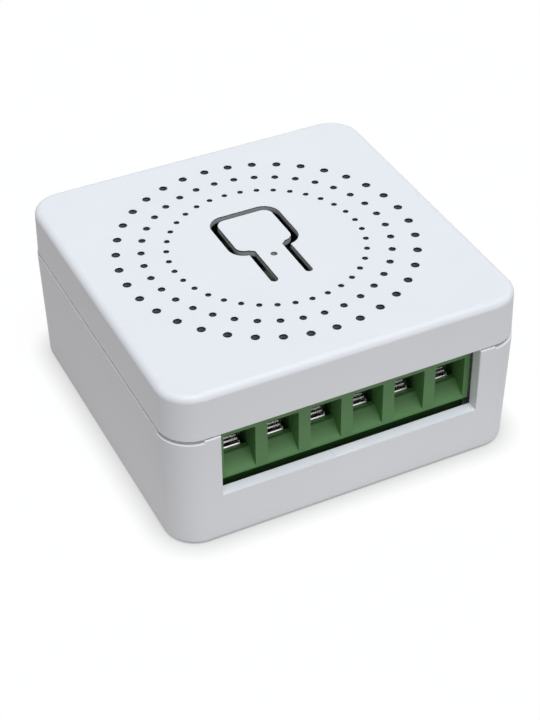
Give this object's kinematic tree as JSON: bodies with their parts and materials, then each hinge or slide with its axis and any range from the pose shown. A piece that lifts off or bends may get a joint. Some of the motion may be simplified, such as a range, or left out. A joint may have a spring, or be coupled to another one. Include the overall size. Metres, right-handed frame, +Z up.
{
  "type": "smart relay module",
  "caption": "Square white case with a press-button tongue and rings of vents on top and green screw terminals in one side, holding a relay, a power supply and a radio board.",
  "frame": {"origin": "middle of the underside", "axes": "+X along the terminal face, +Y to the back, +Z up"},
  "size_m": [0.0414, 0.0414, 0.02],
  "materials": {
    "case_plastic": "fine matt white moulding",
    "block_plastic": "satin green moulding",
    "board_laminate": "green coated laminate",
    "relay_plastic": "smooth blue moulding",
    "dark_plastic": "black moulding",
    "chip_plastic": "black moulded chip",
    "copper_wire": "enamelled copper wire",
    "relay_steel": "plated steel",
    "cage_steel": "bright plated steel",
    "screw_steel": "bright plated steel",
    "tinned_metal": "tin-plated",
    "ferrite": "dull dark grey",
    "capacitor_can": "dark sleeved can",
    "varistor_coat": "dipped blue coat",
    "fuse_coat": "dipped tan coat",
    "chip_ceramic": "plain ceramic",
    "plunger_plastic": "ivory moulding",
    "led_resin": "milky resin"
  },
  "bodies": {
    "case": {"lower_case": "case_plastic", "upper_case": "case_plastic", "main_board": "board_laminate", "terminal_housing": "block_plastic", "terminal_contact_1": "tinned_metal", "terminal_contact_2": "tinned_metal", "terminal_contact_3": "tinned_metal", "terminal_contact_4": "tinned_metal", "terminal_contact_5": "tinned_metal", "terminal_contact_6": "tinned_metal", "relay_cover": "relay_plastic", "relay_base": "dark_plastic", "relay_bobbin": "dark_plastic", "relay_winding": "copper_wire", "relay_yoke": "relay_steel", "relay_contacts": "tinned_metal", "transformer_core": "ferrite", "transformer_bobbin": "dark_plastic", "transformer_winding": "copper_wire", "transformer_pins": "tinned_metal", "bulk_capacitor": "capacitor_can", "output_capacitor": "capacitor_can", "varistor": "varistor_coat", "fuse_resistor": "fuse_coat", "choke": "ferrite", "radio_board": "board_laminate", "radio_shield": "tinned_metal", "radio_chip": "chip_plastic", "radio_pins": "tinned_metal", "bridge_rectifier": "chip_plastic", "converter_chip": "chip_plastic", "optocoupler": "chip_plastic", "regulator": "chip_plastic", "relay_driver": "chip_plastic", "flyback_diode": "chip_plastic", "chip_resistors": "chip_plastic", "chip_capacitors": "chip_ceramic", "tact_switch_body": "chip_plastic", "status_led": "led_resin"},
    "button": {"button_tongue": "case_plastic"},
    "plunger": {"tact_plunger": "plunger_plastic"},
    "armature": {"relay_armature": "relay_steel"},
    "screw_1": {"terminal_screw_1": "screw_steel"},
    "cage_1": {"terminal_cage_1": "cage_steel"},
    "screw_2": {"terminal_screw_2": "screw_steel"},
    "cage_2": {"terminal_cage_2": "cage_steel"},
    "screw_3": {"terminal_screw_3": "screw_steel"},
    "cage_3": {"terminal_cage_3": "cage_steel"},
    "screw_4": {"terminal_screw_4": "screw_steel"},
    "cage_4": {"terminal_cage_4": "cage_steel"},
    "screw_5": {"terminal_screw_5": "screw_steel"},
    "cage_5": {"terminal_cage_5": "cage_steel"},
    "screw_6": {"terminal_screw_6": "screw_steel"},
    "cage_6": {"terminal_cage_6": "cage_steel"}
  },
  "joints": [
    {"name": "button_press", "type": "hinge", "parent": "case", "child": "button", "pos_m": [0, -0.0061, 0.01965], "axis": [-1, 0, 0], "range_deg": [0, 1.5], "stiffness_Nm_per_rad": 0.4},
    {"name": "plunger_travel", "type": "slide", "parent": "case", "child": "plunger", "axis": [0, 0, -1], "range_m": [0, 0.00025]},
    {"name": "armature_pull", "type": "hinge", "parent": "case", "child": "armature", "pos_m": [0.00403, 0.01338, 0.0034], "axis": [0, -1, 0], "range_deg": [0, 4.2], "stiffness_Nm_per_rad": 0.02},
    {"name": "screw_turn_1", "type": "hinge", "parent": "case", "child": "screw_1", "pos_m": [-0.0125, -0.01464, 0.004], "axis": [0, 0, 1], "range_deg": [0, 1440]},
    {"name": "cage_draw_1", "type": "slide", "parent": "case", "child": "cage_1", "axis": [0, 0, -1], "range_m": [0, 0.0018]},
    {"name": "screw_turn_2", "type": "hinge", "parent": "case", "child": "screw_2", "pos_m": [-0.0075, -0.01464, 0.004], "axis": [0, 0, 1], "range_deg": [0, 1440]},
    {"name": "cage_draw_2", "type": "slide", "parent": "case", "child": "cage_2", "axis": [0, 0, -1], "range_m": [0, 0.0018]},
    {"name": "screw_turn_3", "type": "hinge", "parent": "case", "child": "screw_3", "pos_m": [-0.0025, -0.01464, 0.004], "axis": [0, 0, 1], "range_deg": [0, 1440]},
    {"name": "cage_draw_3", "type": "slide", "parent": "case", "child": "cage_3", "axis": [0, 0, -1], "range_m": [0, 0.0018]},
    {"name": "screw_turn_4", "type": "hinge", "parent": "case", "child": "screw_4", "pos_m": [0.0025, -0.01464, 0.004], "axis": [0, 0, 1], "range_deg": [0, 1440]},
    {"name": "cage_draw_4", "type": "slide", "parent": "case", "child": "cage_4", "axis": [0, 0, -1], "range_m": [0, 0.0018]},
    {"name": "screw_turn_5", "type": "hinge", "parent": "case", "child": "screw_5", "pos_m": [0.0075, -0.01464, 0.004], "axis": [0, 0, 1], "range_deg": [0, 1440]},
    {"name": "cage_draw_5", "type": "slide", "parent": "case", "child": "cage_5", "axis": [0, 0, -1], "range_m": [0, 0.0018]},
    {"name": "screw_turn_6", "type": "hinge", "parent": "case", "child": "screw_6", "pos_m": [0.0125, -0.01464, 0.004], "axis": [0, 0, 1], "range_deg": [0, 1440]},
    {"name": "cage_draw_6", "type": "slide", "parent": "case", "child": "cage_6", "axis": [0, 0, -1], "range_m": [0, 0.0018]}
  ],
  "couplings": [
    {"joint": "plunger_travel", "follows": "button_press", "m_per_rad": 0.00925},
    {"joint": "screw_turn_1", "follows": "cage_draw_1", "rad_per_m": 13963},
    {"joint": "screw_turn_2", "follows": "cage_draw_2", "rad_per_m": 13963},
    {"joint": "screw_turn_3", "follows": "cage_draw_3", "rad_per_m": 13963},
    {"joint": "screw_turn_4", "follows": "cage_draw_4", "rad_per_m": 13963},
    {"joint": "screw_turn_5", "follows": "cage_draw_5", "rad_per_m": 13963},
    {"joint": "screw_turn_6", "follows": "cage_draw_6", "rad_per_m": 13963}
  ]
}
